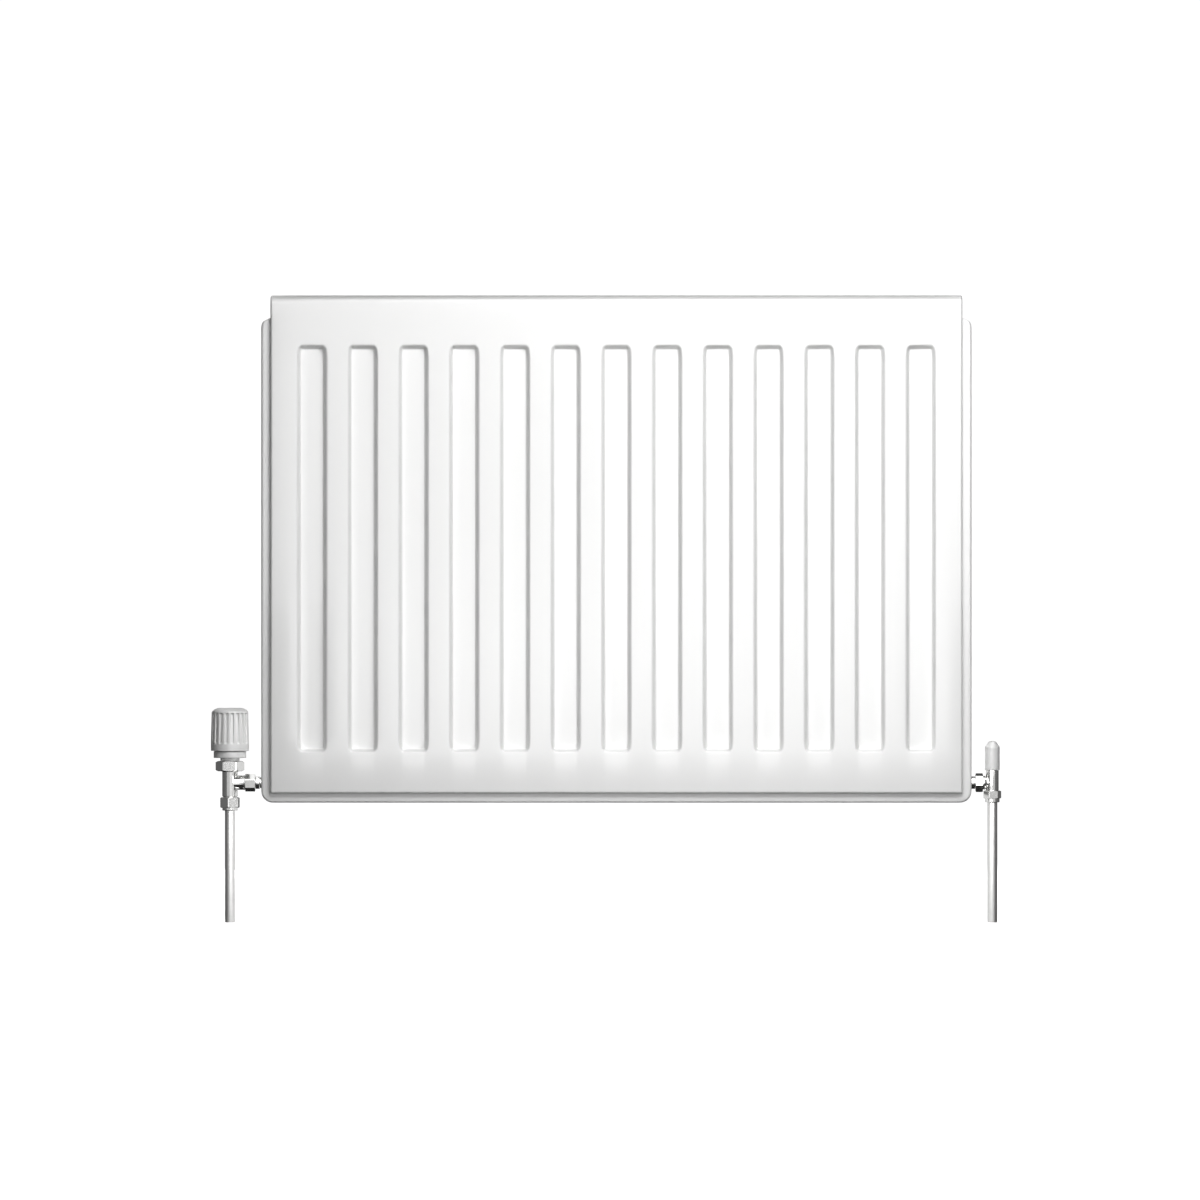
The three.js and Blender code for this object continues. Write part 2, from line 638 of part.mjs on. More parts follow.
add('trv_body', trvBody(), chrome(), trvPlace);
add('trv_union_nut', alongX(unionNut(9, ...TRV.union, 0.14)), chrome(), trvPlace);
add('trv_tail', alongX(tailPiece(20.3, 25, -TRV_X - BUSH_FACE)), chrome(), trvPlace);
add('trv_compression_nut', compressionNut(10.3, 7.1, TRV.nut[1], -23.2, TRV.nut[0], 7.55,
  TRV.nutCollar, 0.37), chrome(), trvPlace);
add('trv_olive', olive(6.9, ...TRV.olive), brass(), trvPlace);
add('trv_pipe', pipe(-16), copperPipe(), trvPlace);
add('trv_insert', trvInsert(), brass(), trvPlace);
add('trv_spindle', trvSpindle(), springSteel(), trvPlace);
add('trv_return_spring', returnSpring(), springSteel(), trvPlace);
add('trv_collar_nut', collarNut(), chrome(), trvPlace);
add('trv_head_base', headBase(), whitePlastic(), trvPlace);
add('trv_sensor', sensor(), greyPlastic(), trvPlace);
add('trv_handwheel', handwheel(), whitePlastic(), trvPlace);

// ---- Lockshield valve -----------------------------------------------------------------------

const lockshieldPlace = [LOCKSHIELD_X, PORT_Y, LOWER_PORT_Z];

function lockshieldBody() {
  const barrel = turned([
    [0, -11], [6.1, -11], [6.1, -7.6], [6.3, -7.2], [6.3, 12.3], [4.8, 12.3], [4.8, 16], [0, 16],
  ], FINE);
  const branch = alongX(turned([
    [0, 0], [5.4, 0], [5.4, 5.5], [6.8, 7.6], [6.8, 8], [UNION_THREAD, 8.3],
    [UNION_THREAD, 12.1], [0, 12.1],
  ], FINE), -1);
  const chamber = solid(rod(4.5, -3.5, 12));
  const seatBore = solid(rod(3, -12, 0));
  const pipeSocket = solid(rod(PIPE_RADIUS + GAP, -12, -9));
  const stem = solid(rod(1.95, 0, 20));
  const outlet = solid(alongX(rod(3.4, 0, 13), -1));
  return cut(join(solid(barrel), solid(branch)), chamber, seatBore, pipeSocket, stem, outlet);
}

function glandNut() {
  return cut(solid(hexagon(5.5, 16.3, 21)), solid(rod(1.95, 16, 22)));
}

/** The spindle turns in place; its collar is held under the body's neck. */
function lockshieldSpindle() {
  const stem = turned([
    [0, 2.6], [1.6, 2.6], [1.6, 10], [3, 10], [3, 11.4], [1.6, 11.4], [1.6, 23], [0, 23],
  ]);
  const square = rod(1.9, 22.5, 28, 4).rotateZ(Math.PI / 4);
  return join(solid(stem), solid(square));
}

/** The plug rises on the spindle's thread and opens the seat. */
const lockshieldPlug = () => turned([
  [0, -2.3], [3.4, -2.3], [4.2, -1.2], [4.2, 6], [1.9, 6], [1.9, 0], [0, 0],
]);

const lockshieldCap = () => turned([
  [5.9, 12.6], [7.25, 12.6], [7.25, 35.6], [3.3, 41.2], [0, 41.2], [0, 37], [4, 33], [5.9, 31],
], FINE);

add('lockshield_body', lockshieldBody(), chrome(), lockshieldPlace);
add('lockshield_union_nut', alongX(unionNut(9.6, 9.3, 16.6, 0.23), -1), chrome(), lockshieldPlace);
add('lockshield_tail', alongX(tailPiece(12.4, 16.6, LOCKSHIELD_X - BUSH_FACE), -1), chrome(),
  lockshieldPlace);
add('lockshield_compression_nut', compressionNut(9, 6.1, -7.8, -14.1, -15.7, 7.15, -19.4, 0.12),
  chrome(), lockshieldPlace);
add('lockshield_olive', olive(6.1, -13.8, -11.3), brass(), lockshieldPlace);
add('lockshield_pipe', pipe(-9.3), copperPipe(), lockshieldPlace);
add('lockshield_gland_nut', glandNut(), brass(), lockshieldPlace);
add('lockshield_spindle', lockshieldSpindle(), springSteel(), lockshieldPlace);
add('lockshield_plug', lockshieldPlug(), brass(), lockshieldPlace);
add('lockshield_cap', lockshieldCap(), whitePlastic(), lockshieldPlace);

// ---- Origin: the middle of the footprint, at the height of the pipe ends ---------------------

const extent = new THREE.Box3().setFromObject(radiator);
const middle = extent.getCenter(new THREE.Vector3());
radiator.position.set(-middle.x, -middle.y, -extent.min.z);

export default radiator;
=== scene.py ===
"""The finished look of a steel panel radiator with its valves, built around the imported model.

Pieces are worked out in millimetres from the middle of the panel's front face at floor height,
and placed in the frame, in metres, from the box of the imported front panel.
"""
import json
import math

import bmesh
import bpy
from mathutils import Matrix, Vector


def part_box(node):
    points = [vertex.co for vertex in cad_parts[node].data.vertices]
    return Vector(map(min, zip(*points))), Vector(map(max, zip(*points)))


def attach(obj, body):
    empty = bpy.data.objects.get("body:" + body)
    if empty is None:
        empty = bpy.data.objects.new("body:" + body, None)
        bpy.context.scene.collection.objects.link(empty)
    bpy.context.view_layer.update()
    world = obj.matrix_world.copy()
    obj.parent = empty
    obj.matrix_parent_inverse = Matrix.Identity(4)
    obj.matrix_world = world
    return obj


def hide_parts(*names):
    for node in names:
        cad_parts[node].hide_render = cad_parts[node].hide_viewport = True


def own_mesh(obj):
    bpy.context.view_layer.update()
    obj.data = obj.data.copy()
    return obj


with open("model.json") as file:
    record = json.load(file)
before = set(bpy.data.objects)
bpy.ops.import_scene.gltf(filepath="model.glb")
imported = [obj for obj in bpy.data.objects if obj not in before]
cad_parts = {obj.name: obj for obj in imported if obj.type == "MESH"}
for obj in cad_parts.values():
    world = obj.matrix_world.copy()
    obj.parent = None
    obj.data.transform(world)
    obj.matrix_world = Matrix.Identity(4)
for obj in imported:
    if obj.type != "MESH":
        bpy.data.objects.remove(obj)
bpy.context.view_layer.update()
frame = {"nodes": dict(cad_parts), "record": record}

MM = 0.001
TURN = 2 * math.pi
RECORD = frame["record"]
BODY_OF = {n: b for b, nodes in RECORD["behaviour"]["bodies"].items() for n in nodes}
SLOT_OF = {s["node"]: s["material_slot"] for s in RECORD["subparts"]}

PANEL_LOW, PANEL_HIGH = (Vector(corner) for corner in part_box("front_panel"))
ORIGIN = Vector(((PANEL_LOW.x + PANEL_HIGH.x) / 2, PANEL_LOW.y, 0))


def local_box(node):
    """A CAD node's box in the script's millimetres."""
    low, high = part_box(node)
    return (Vector(low) - ORIGIN) / MM, (Vector(high) - ORIGIN) / MM


def middle_of(node):
    low, high = local_box(node)
    return (low + high) / 2


# ---- Dimensions, in millimetres ------------------------------------------------------------

FRONT_LOW, FRONT_HIGH = local_box("front_panel")
REAR_TOP = local_box("rear_panel")[1].z
PANEL_HALF = FRONT_HIGH.x
PANEL_BOTTOM = FRONT_LOW.z
PANEL_TOP = FRONT_HIGH.z
PANEL_DEPTH = FRONT_HIGH.y
SHEET = 1.25             # the panels' steel
GAP = 0.3                # running and contact clearance
RIM_WIDTH = 9.3          # the welded rim, seen from the front
FACE_HALF = PANEL_HALF - RIM_WIDTH
FACE_BOTTOM = PANEL_BOTTOM + 9.5
ROLL_RADIUS = PANEL_DEPTH / 2
CROWN = PANEL_TOP - ROLL_RADIUS
LIP_Z = PANEL_TOP - 22.4  # where the rim ends under the roll
EDGE_ROUND = 2.2
ROLL_END_ROUND = 2.0
EDGE_FILLET = 0.3        # where the face's side meets the rim
FLANGE_DEPTH = 7.6       # the rim's face, behind the panel's face
HEM_DEPTH = 12
HEM_ROUND = 2.3
HEM_BACK_ROUND = 1.5
RIM_CORNER = 15
FACE_CORNER = 2

VALLEY_COUNT = 13
VALLEY_PITCH = 49.95
VALLEY_BOTTOM = PANEL_BOTTOM + 51.8
VALLEY_TOP = PANEL_TOP - 50.9
VALLEY_HALF = 12.9       # this and the two above are at the walls' steepest line
VALLEY_DEPTH = 7.5
WALL_HALF = 2.77         # half a wall's run across the sheet
WALL_RADIUS = 2.0        # of the bends at a wall's top and foot
WALL_SINE = 0.94         # of the steepest slope's angle
WALL_STEP = 0.33         # between rows of points on a wall
VALLEY_NARROWING = 1.8   # of each side, at a valley's ends
VALLEY_NARROW_RUN = 12

PORT_Y = middle_of("trv_pipe").y
PORT_Z = middle_of("tapping_lower_left").z
TRV_AXIS = Vector((middle_of("trv_pipe").x, PORT_Y, PORT_Z))
LOCKSHIELD_AXIS = Vector((middle_of("lockshield_pipe").x, PORT_Y, PORT_Z))
PIPE_RADIUS = 5
PIPE_WALL = 0.7
THREAD_PITCH = 1.8
THREAD_CREST = 10.3      # the radius of a thread that goes into a tapping

FINE = 96                # segments round a turned piece


# ---- Materials -----------------------------------------------------------------------------

def new_material(name, color, roughness, metallic=0.0):
    """A Principled material and its node tree."""
    material = bpy.data.materials.new(name)
    material.use_nodes = True
    shader = material.node_tree.nodes["Principled BSDF"]
    shader.inputs["Base Color"].default_value = (*color, 1)
    shader.inputs["Roughness"].default_value = roughness
    shader.inputs["Metallic"].default_value = metallic
    return material, shader


def noise(tree, scale, detail=3, stretch=(1, 1, 1)):
    """A noise texture in the piece's own coordinates."""
    place = tree.nodes.new("ShaderNodeTexCoord")
    mapping = tree.nodes.new("ShaderNodeMapping")
    mapping.inputs["Scale"].default_value = stretch
    texture = tree.nodes.new("ShaderNodeTexNoise")
    texture.inputs["Scale"].default_value = scale
    texture.inputs["Detail"].default_value = detail
    tree.links.new(place.outputs["Object"], mapping.inputs["Vector"])
    tree.links.new(mapping.outputs["Vector"], texture.inputs["Vector"])
    return texture.outputs["Fac"]


def ramp(tree, value, low, high, start=0.3, end=0.7):
    """Maps a value from start..end to low..high."""
    spread = tree.nodes.new("ShaderNodeMapRange")
    spread.inputs["From Min"].default_value = start
    spread.inputs["From Max"].default_value = end
    spread.inputs["To Min"].default_value = low
    spread.inputs["To Max"].default_value = high
    tree.links.new(value, spread.inputs["Value"])
    return spread.outputs["Result"]


def tint(tree, shader, value, first, second):
    """Blends the base colour between two colours by a value."""
    mix = tree.nodes.new("ShaderNodeMix")
    mix.data_type = "RGBA"
    mix.inputs["A"].default_value = (*first, 1)
    mix.inputs["B"].default_value = (*second, 1)
    tree.links.new(value, mix.inputs["Factor"])
    tree.links.new(mix.outputs["Result"], shader.inputs["Base Color"])


def bump(tree, shader, value, strength, distance):
    node = tree.nodes.new("ShaderNodeBump")
    node.inputs["Strength"].default_value = strength
    node.inputs["Distance"].default_value = distance
    tree.links.new(value, node.inputs["Height"])
    tree.links.new(node.outputs["Normal"], shader.inputs["Normal"])


def enamel():
    """Baked gloss enamel on pressed steel: faint orange peel and slight gloss variation."""
    material, shader = new_material("white_enamel", (0.8, 0.8, 0.796), 0.24)
    tree = material.node_tree
    shader.inputs["Coat Weight"].default_value = 0.2
    shader.inputs["Coat Roughness"].default_value = 0.08
    tint(tree, shader, ramp(tree, noise(tree, 6, 2), 0, 1, 0.2, 0.8),
         (0.8, 0.8, 0.797), (0.808, 0.808, 0.804))
    tree.links.new(ramp(tree, noise(tree, 300, 2), 0.22, 0.26, 0.2, 0.8),
                   shader.inputs["Roughness"])
    bump(tree, shader, noise(tree, 420, 2), 0.04, 0.0004)
    return material


def plated(name, color, roughness, grain=(1, 1, 1), wear=0.05, relief=0.03):
    """Bright plate with polishing lines along one direction."""
    material, shader = new_material(name, color, roughness, 1)
    tree = material.node_tree
    lines = noise(tree, 900, 4, grain)
    tree.links.new(ramp(tree, lines, roughness - wear / 2, roughness + wear),
                   shader.inputs["Roughness"])
    darker = tuple(0.93 * c for c in color)
    tint(tree, shader, ramp(tree, noise(tree, 120, 3), 0, 1), color, darker)
    bump(tree, shader, lines, relief, 0.0001)
    return material


def moulded(name, color, roughness, grain_scale=1800):
    """Injection-moulded plastic with a fine spark-eroded grain."""
    material, shader = new_material(name, color, roughness)
    tree = material.node_tree
    paler = tuple(min(1.0, 1.03 * c) for c in color)
    tint(tree, shader, ramp(tree, noise(tree, 60, 3), 0, 1), color, paler)
    tree.links.new(ramp(tree, noise(tree, 200, 2), roughness - 0.04, roughness + 0.06),
                   shader.inputs["Roughness"])
    bump(tree, shader, noise(tree, grain_scale, 2), 0.08, 0.0001)
    return material


def rubber():
    material, shader = new_material("black_rubber", (0.018, 0.018, 0.019), 0.78)
    tree = material.node_tree
    bump(tree, shader, noise(tree, 1500, 3), 0.2, 0.0001)
    tint(tree, shader, ramp(tree, noise(tree, 300, 2), 0, 1),
         (0.015, 0.015, 0.016), (0.03, 0.03, 0.031))
    return material


MATERIALS = {
    "white_enamel": enamel(),
    "white_plastic": moulded("white_plastic", (0.8, 0.8, 0.795), 0.34),
    "grey_plastic": moulded("grey_plastic", (0.42, 0.43, 0.44), 0.5),
    "chrome": plated("chrome", (0.8, 0.8, 0.79), 0.12),
    "plated_pipe": plated("plated_pipe", (0.78, 0.78, 0.77), 0.34, (1, 1, 0.04), 0.03, 0.004),
    "brass": plated("brass", (0.78, 0.58, 0.28), 0.3, (1, 1, 6), 0.12),
    "stainless_steel": plated("stainless_steel", (0.6, 0.6, 0.61), 0.28, (1, 1, 6), 0.1),
    "black_rubber": rubber(),
}


# ---- Mesh helpers --------------------------------------------------------------------------

def patch(mesh, rows, closed=False):
    """Adds a grid of quads; rows are lists of points, and closed joins each row's ends."""
    grid = [[mesh.verts.new(point) for point in row] for row in rows]
    for lower, upper in zip(grid, grid[1:]):
        count = len(lower)
        for i in range(count if closed else count - 1):
            j = (i + 1) % count
            mesh.faces.new((lower[i], lower[j], upper[j], upper[i]))


def tidy(mesh, distance=0.01):
    bmesh.ops.remove_doubles(mesh, verts=mesh.verts[:], dist=distance)
    bmesh.ops.dissolve_degenerate(mesh, edges=mesh.edges[:], dist=distance / 10)
    bmesh.ops.recalc_face_normals(mesh, faces=mesh.faces[:])


def eased_corner(before, here, after, radius, count):
    """Points of a smooth bend in place of a corner; none if there is no room for one."""
    back = before - here
    on = after - here
    reach = min(radius, 0.45 * back.length, 0.45 * on.length)
    if reach < 0.02:
        return []
    start = here + back.normalized() * reach
    end = here + on.normalized() * reach
    shares = [k / count for k in range(count + 1)]
    return [start * (1 - t) ** 2 + here * 2 * t * (1 - t) + end * t ** 2 for t in shares]


def rounded(profile, radius):
    """A closed outline with its corners eased; corners on the axis stay."""
    result = []
    points = [Vector(point) for point in profile]
    for i, here in enumerate(points):
        bend = []
        if abs(here.x) >= 1e-6:
            bend = eased_corner(points[i - 1], here, points[(i + 1) % len(points)], radius, 4)
        result += [tuple(spot) for spot in bend or [here]]
    return result


def ring_rows(profile, segments, shape=None):
    """Rows of points round z for a closed outline of (radius, z)."""
    rows = []
    for radius, z in profile + profile[:1]:
        row = []
        for k in range(segments):
            angle = TURN * k / segments
            r, height = shape(radius, z, angle) if shape else (radius, z)
            row.append((r * math.cos(angle), r * math.sin(angle), height))
        rows.append(row)
    return rows


def turned(profile, ease=0.25, segments=FINE, shape=None):
    """A turned solid about z."""
    mesh = bmesh.new()
    patch(mesh, ring_rows(rounded(profile, ease), segments, shape), closed=True)
    tidy(mesh)
    return mesh


def hex_radius(corner, angle, turn):
    """The radius of a hexagon at an angle, its corners slightly eased."""
    off = (angle - turn) % (TURN / 6) - TURN / 12
    return min(corner * math.cos(TURN / 12) / math.cos(off), 0.985 * corner)


def hex_piece(corner, low, high, inside, turn=0.0, below=(), slope=0.5):
    """A hexagon nut with turned chamfers.

    inside and below are the (radius, z) rows of its bore and of the collar under it.
    """
    segments = 120
    flat = 0.955 * corner * math.cos(TURN / 12)
    mesh = bmesh.new()

    def circle(radius, z):
        return [(radius * math.cos(TURN * k / segments), radius * math.sin(TURN * k / segments), z)
                for k in range(segments)]

    def hexagon(edge, sign):
        row = []
        for k in range(segments):
            angle = TURN * k / segments
            r = hex_radius(corner, angle, turn)
            row.append((r * math.cos(angle), r * math.sin(angle), edge + sign * slope * (r - flat)))
        return row

    rows = [circle(flat, low), hexagon(low, 1), hexagon(high, -1), circle(flat, high)]
    rows += [circle(r, z) for r, z in inside]
    rows += [circle(r, z) for r, z in below]
    rows.append(circle(flat, low))
    patch(mesh, rows, closed=True)
    tidy(mesh, 0.004)
    return mesh


def folded(section, radius, thickness, low, high):
    """A folded sheet: an open line in x and y, bent, thickened to its left and raised in z."""
    points = [Vector(point) for point in section]
    line = points[:1]
    for before, here, after in zip(points, points[1:], points[2:]):
        line += eased_corner(before, here, after, radius, 5) or [here]
    line.append(points[-1])
    other = []
    for i, here in enumerate(line):
        before = line[max(i - 1, 0)]
        after = line[min(i + 1, len(line) - 1)]
        along = (after - before).normalized()
        other.append(here + Vector((-along.y, along.x)) * thickness)
    mesh = bmesh.new()
    patch(mesh, [[(p.x, p.y, z) for p in line + other[::-1]] for z in (low, high)], closed=True)
    for z in (low, high):
        patch(mesh, [[(p.x, p.y, z) for p in side] for side in (line, other)])
    tidy(mesh, 0.004)
    return mesh


def thread(root, crest, start, end):
    """The outline of a cut thread, whole turns from start until it reaches end."""
    outline = []
    z = start
    while z < end:
        outline += [(root, z + THREAD_PITCH / 2), (crest, z + THREAD_PITCH)]
        z += THREAD_PITCH
    return outline


def placed(mesh, centre=(0, 0, 0), along=None):
    """Moves a mesh made about z to its centre, laid along x if along is 1 or -1."""
    if along:
        mesh.transform(Matrix.Rotation(along * math.pi / 2, 4, "Y"))
    mesh.transform(Matrix.Translation(Vector(centre)))
    return mesh


def combined(base, *steps):
    """Joins or cuts meshes: each step is ("UNION" or "DIFFERENCE", mesh)."""
    def hidden(mesh):
        data = bpy.data.meshes.new("step")
        mesh.to_mesh(data)
        mesh.free()
        body = bpy.data.objects.new("step", data)
        bpy.context.scene.collection.objects.link(body)
        return body

    body = hidden(base)
    used = [body]
    for operation, mesh in steps:
        tool = hidden(mesh)
        used.append(tool)
        modifier = body.modifiers.new("step", "BOOLEAN")
        modifier.operation = operation
        modifier.solver = "EXACT"
        modifier.object = tool
    bpy.context.view_layer.update()
    graph = bpy.context.evaluated_depsgraph_get()
    result = bmesh.new()
    result.from_mesh(body.evaluated_get(graph).to_mesh())
    for item in used:
        data = item.data
        bpy.data.objects.remove(item)
        bpy.data.meshes.remove(data)
    tidy(result, 0.002)
    return result


def ease_edges(piece, width, angle):
    """Bevels edges sharper than an angle in degrees."""
    modifier = piece.modifiers.new("eased_edges", "BEVEL")
    modifier.width = width * MM
    modifier.segments = 2
    modifier.limit_method = "ANGLE"
    modifier.angle_limit = math.radians(angle)


def add_piece(node, mesh, sharp=32):
    """Puts a finished mesh in the scene in place of a CAD node."""
    mesh.transform(Matrix.Translation(ORIGIN) @ Matrix.Scale(MM, 4))
    data = bpy.data.meshes.new(f"{node}_fine")
    mesh.to_mesh(data)
    mesh.free()
    data.shade_smooth()
    data.set_sharp_from_angle(angle=math.radians(sharp))
    data.materials.append(MATERIALS[SLOT_OF[node]])
    piece = bpy.data.objects.new(f"{node}_fine", data)
    bpy.context.scene.collection.objects.link(piece)
    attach(piece, BODY_OF[node])
    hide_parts(node)
    return piece


def keep_node(node, bevel):
    """Keeps a CAD node, with eased edges and the finished material."""
    body = frame["nodes"][node]
    body.data.materials.clear()
    body.data.materials.append(MATERIALS[SLOT_OF[node]])
    ease_edges(body, bevel, 40)


# ---- Camera, light and stage ---------------------------------------------------------------

def build_camera():
    """Level, square on to the panel and far away, a little left of its middle and low."""
    distance = 10000
    aside = -16.15
    height = 318.4
    seen_width = 1181.4
    data = bpy.data.cameras.new("camera")
    data.sensor_width = 36
    data.lens = data.sensor_width * distance / seen_width
    data.clip_end = 100
    camera = bpy.data.objects.new("camera", data)
    camera.location = ORIGIN + Vector((aside, -distance, height)) * MM
    camera.rotation_euler = (math.pi / 2, 0, 0)
    bpy.context.scene.collection.objects.link(camera)
    bpy.context.scene.camera = camera


def area_light(name, place, target, width, height, power):
    """A soft box, by its centre and the point it faces, in millimetres."""
    data = bpy.data.lights.new(name, "AREA")
    data.shape = "RECTANGLE"
    data.size = width * MM
    data.size_y = height * MM
    data.energy = power
    lamp = bpy.data.objects.new(name, data)
    lamp.location = ORIGIN + Vector(place) * MM
    aim = Vector(target) - Vector(place)
    lamp.rotation_euler = aim.to_track_quat("-Z", "Y").to_euler()
    lamp.visible_camera = False
    bpy.context.scene.collection.objects.link(lamp)
    return lamp


def build_world():
    """White to the camera; to the object, a dim room, darker behind, above and below."""
    world = bpy.data.worlds.new("studio")
    bpy.context.scene.world = world
    world.use_nodes = True
    tree = world.node_tree
    background = tree.nodes["Background"]
    place = tree.nodes.new("ShaderNodeTexCoord")
    parts = tree.nodes.new("ShaderNodeSeparateXYZ")
    tree.links.new(place.outputs["Generated"], parts.inputs["Vector"])

    def spread(value, start, end, low, high):
        node = tree.nodes.new("ShaderNodeMapRange")
        node.interpolation_type = "SMOOTHSTEP"
        node.inputs["From Min"].default_value = start
        node.inputs["From Max"].default_value = end
        node.inputs["To Min"].default_value = low
        node.inputs["To Max"].default_value = high
        tree.links.new(value, node.inputs["Value"])
        return node.outputs["Result"]

    def times(first, second):
        node = tree.nodes.new("ShaderNodeMath")
        node.operation = "MULTIPLY"
        tree.links.new(first, node.inputs[0])
        tree.links.new(second, node.inputs[1])
        return node.outputs["Value"]

    front = spread(parts.outputs["Y"], -0.9, 0.4, 0.2, 0.13)
    lower = spread(parts.outputs["Z"], -0.6, 0.0, 0.15, 1.0)
    upper = spread(parts.outputs["Z"], 0.2, 0.9, 1.0, 0.3)
    strength = times(front, times(lower, upper))
    seen = tree.nodes.new("ShaderNodeLightPath")
    choose = tree.nodes.new("ShaderNodeMix")
    choose.inputs["B"].default_value = 1.05
    tree.links.new(seen.outputs["Is Camera Ray"], choose.inputs["Factor"])
    tree.links.new(strength, choose.inputs["A"])
    tree.links.new(choose.outputs["Result"], background.inputs["Strength"])
    background.inputs["Color"].default_value = (1, 1, 1, 1)


def build_floor():
    """A pale floor, in metres, that shines white to the camera and does not light the object."""
    data = bpy.data.meshes.new("floor")
    half = 6
    level = -0.001
    corners = [(-half, -half, level), (half, -half, level), (half, half, level),
               (-half, half, level)]
    data.from_pydata(corners, [], [(0, 1, 2, 3)])
    floor = bpy.data.objects.new("floor", data)
    bpy.context.scene.collection.objects.link(floor)
    material, shader = new_material("floor", (0.9, 0.9, 0.9), 0.9)
    shader.inputs["Emission Color"].default_value = (1, 1, 1, 1)
    shader.inputs["Emission Strength"].default_value = 1.0
    data.materials.append(material)
    floor.visible_diffuse = False
    floor.visible_glossy = False


build_camera()
build_world()
build_floor()

# Lamps light the object without being mirrored in it; cards are only mirrored.
lamps = [
    area_light("key", (270, -950, 930), (240, 0, 430), 800, 450, 11),
    area_light("fill", (50, -420, 140), (50, 0, 100), 800, 120, 0.75),
    area_light("back", (-600, 1900, 600), (0, 40, 350), 1400, 1400, 34),
]
cards = [
    area_light("high_card", (220, -1000, 870), (220, 0, 870), 1500, 1120, 25),
    area_light("crown_card", (300, -750, 1650), (300, 0, 615), 1300, 700, 17),
    area_light("middle_card", (40, -1000, 225), (40, 0, 225), 740, 170, 2.2),
    area_light("low_card", (0, -1000, 0), (0, 0, 0), 800, 700, 1.3),
]
for side, behind in ((-1, 1300), (1, 300)):
    ahead = 700
    middle = (behind - ahead) / 2
    length = behind + ahead
    cards += [
        area_light("outer_card", (side * 900, -1000, 0), (side * 900, 0, 0), 1000, 700, 1.0),
        area_light("inner_card", (side * 300, 80, 90), (side * 400, 80, 90), 240, 300, 0.16),
        area_light("top_card", (side * 620, middle, 900), (side * 620, middle, 0),
                   550, length, 0.0021 * length),
    ]
for lamp in lamps:
    lamp.visible_glossy = False
for card in cards:
    card.visible_diffuse = False
bpy.context.scene.view_settings.view_transform = "Standard"


# ---- Pressed sheets ------------------------------------------------------------------------

def smooth(t):
    t = min(max(t, 0), 1)
    return t * t * (3 - 2 * t)


def wall_rise(inside):
    """The share of a valley's depth reached at a distance inside its steepest line.

    A wall is two arcs, back to back, with a straight run between them.
    """
    reach = WALL_HALF - min(abs(inside), WALL_HALF)
    curved = min(reach, WALL_RADIUS * WALL_SINE)
    drop = WALL_RADIUS - math.sqrt(WALL_RADIUS ** 2 - curved ** 2)
    drop += (reach - curved) * WALL_SINE / math.sqrt(1 - WALL_SINE ** 2)
    level = min(drop / VALLEY_DEPTH, 0.5)
    return 1 - level if inside > 0 else level


def valley_depth(x, z):
    """How deep the pressed valleys are at a point of the sheet."""
    index = round(x / VALLEY_PITCH)
    index = max(-(VALLEY_COUNT // 2), min(VALLEY_COUNT // 2, index))
    off = abs(x - index * VALLEY_PITCH)
    from_end = (VALLEY_TOP - VALLEY_BOTTOM) / 2 - abs(z - (VALLEY_TOP + VALLEY_BOTTOM) / 2)
    run = min(max(1 - from_end / VALLEY_NARROW_RUN, 0), 1)
    half = VALLEY_HALF - VALLEY_NARROWING * (1 - math.sqrt(1 - run * run))
    return VALLEY_DEPTH * wall_rise(half - off) * wall_rise(from_end)


def steps(start, end, size):
    """Evenly spaced values from start to end, no further apart than size."""
    count = max(1, math.ceil(abs(end - start) / size - 1e-9))
    return [start + (end - start) * k / count for k in range(count + 1)]


def merged(*lists):
    """The values of several lists, sorted, with near-doubles dropped."""
    result = []
    for value in sorted(v for values in lists for v in values):
        if not result or value - result[-1] > 0.05:
            result.append(value)
    return result


def wall_stops():
    """Distances inside a valley's steepest line at which the sheet has a row of points."""
    return steps(-WALL_HALF, WALL_HALF, WALL_STEP)


def sheet_columns(edge):
    """Columns across the sheet, close together on the valley walls."""
    columns = [[-edge, edge]]
    for i in range(VALLEY_COUNT):
        centre = (i - VALLEY_COUNT // 2) * VALLEY_PITCH
        for side in (-1, 1):
            columns.append([centre + side * (VALLEY_HALF - stop) for stop in wall_stops()])
        columns.append([centre - 3, centre, centre + 3, centre + VALLEY_PITCH / 2])
    return [x for x in merged(*columns) if abs(x) <= edge]


def sheet_rows(low, high):
    """Rows up the sheet, close together at the valley ends and at the rim's upper end."""
    rows = [[low, high], steps(LIP_Z - 11, LIP_Z, 0.9), steps(VALLEY_BOTTOM, VALLEY_TOP, 40)]
    for end, inward in ((VALLEY_TOP, -1), (VALLEY_BOTTOM, 1)):
        rows.append([end + inward * stop for stop in wall_stops()])
        rows.append(steps(end + inward * WALL_HALF, end + inward * 16, 1.6))
    return [z for z in merged(*rows) if low <= z <= high]


def rim_reach(z):
    """How much of its full width the rim has at a height: it tapers in at its upper ends."""
    below = LIP_Z - z
    slope_end = 2.4
    curve_end = 10.6
    if below >= curve_end:
        return 1.0
    if below <= slope_end:
        return 0.14 + 0.48 * max(below, 0) / slope_end
    t = (curve_end - below) / (curve_end - slope_end)
    return 0.62 + 0.38 * math.sqrt(1 - t * t)


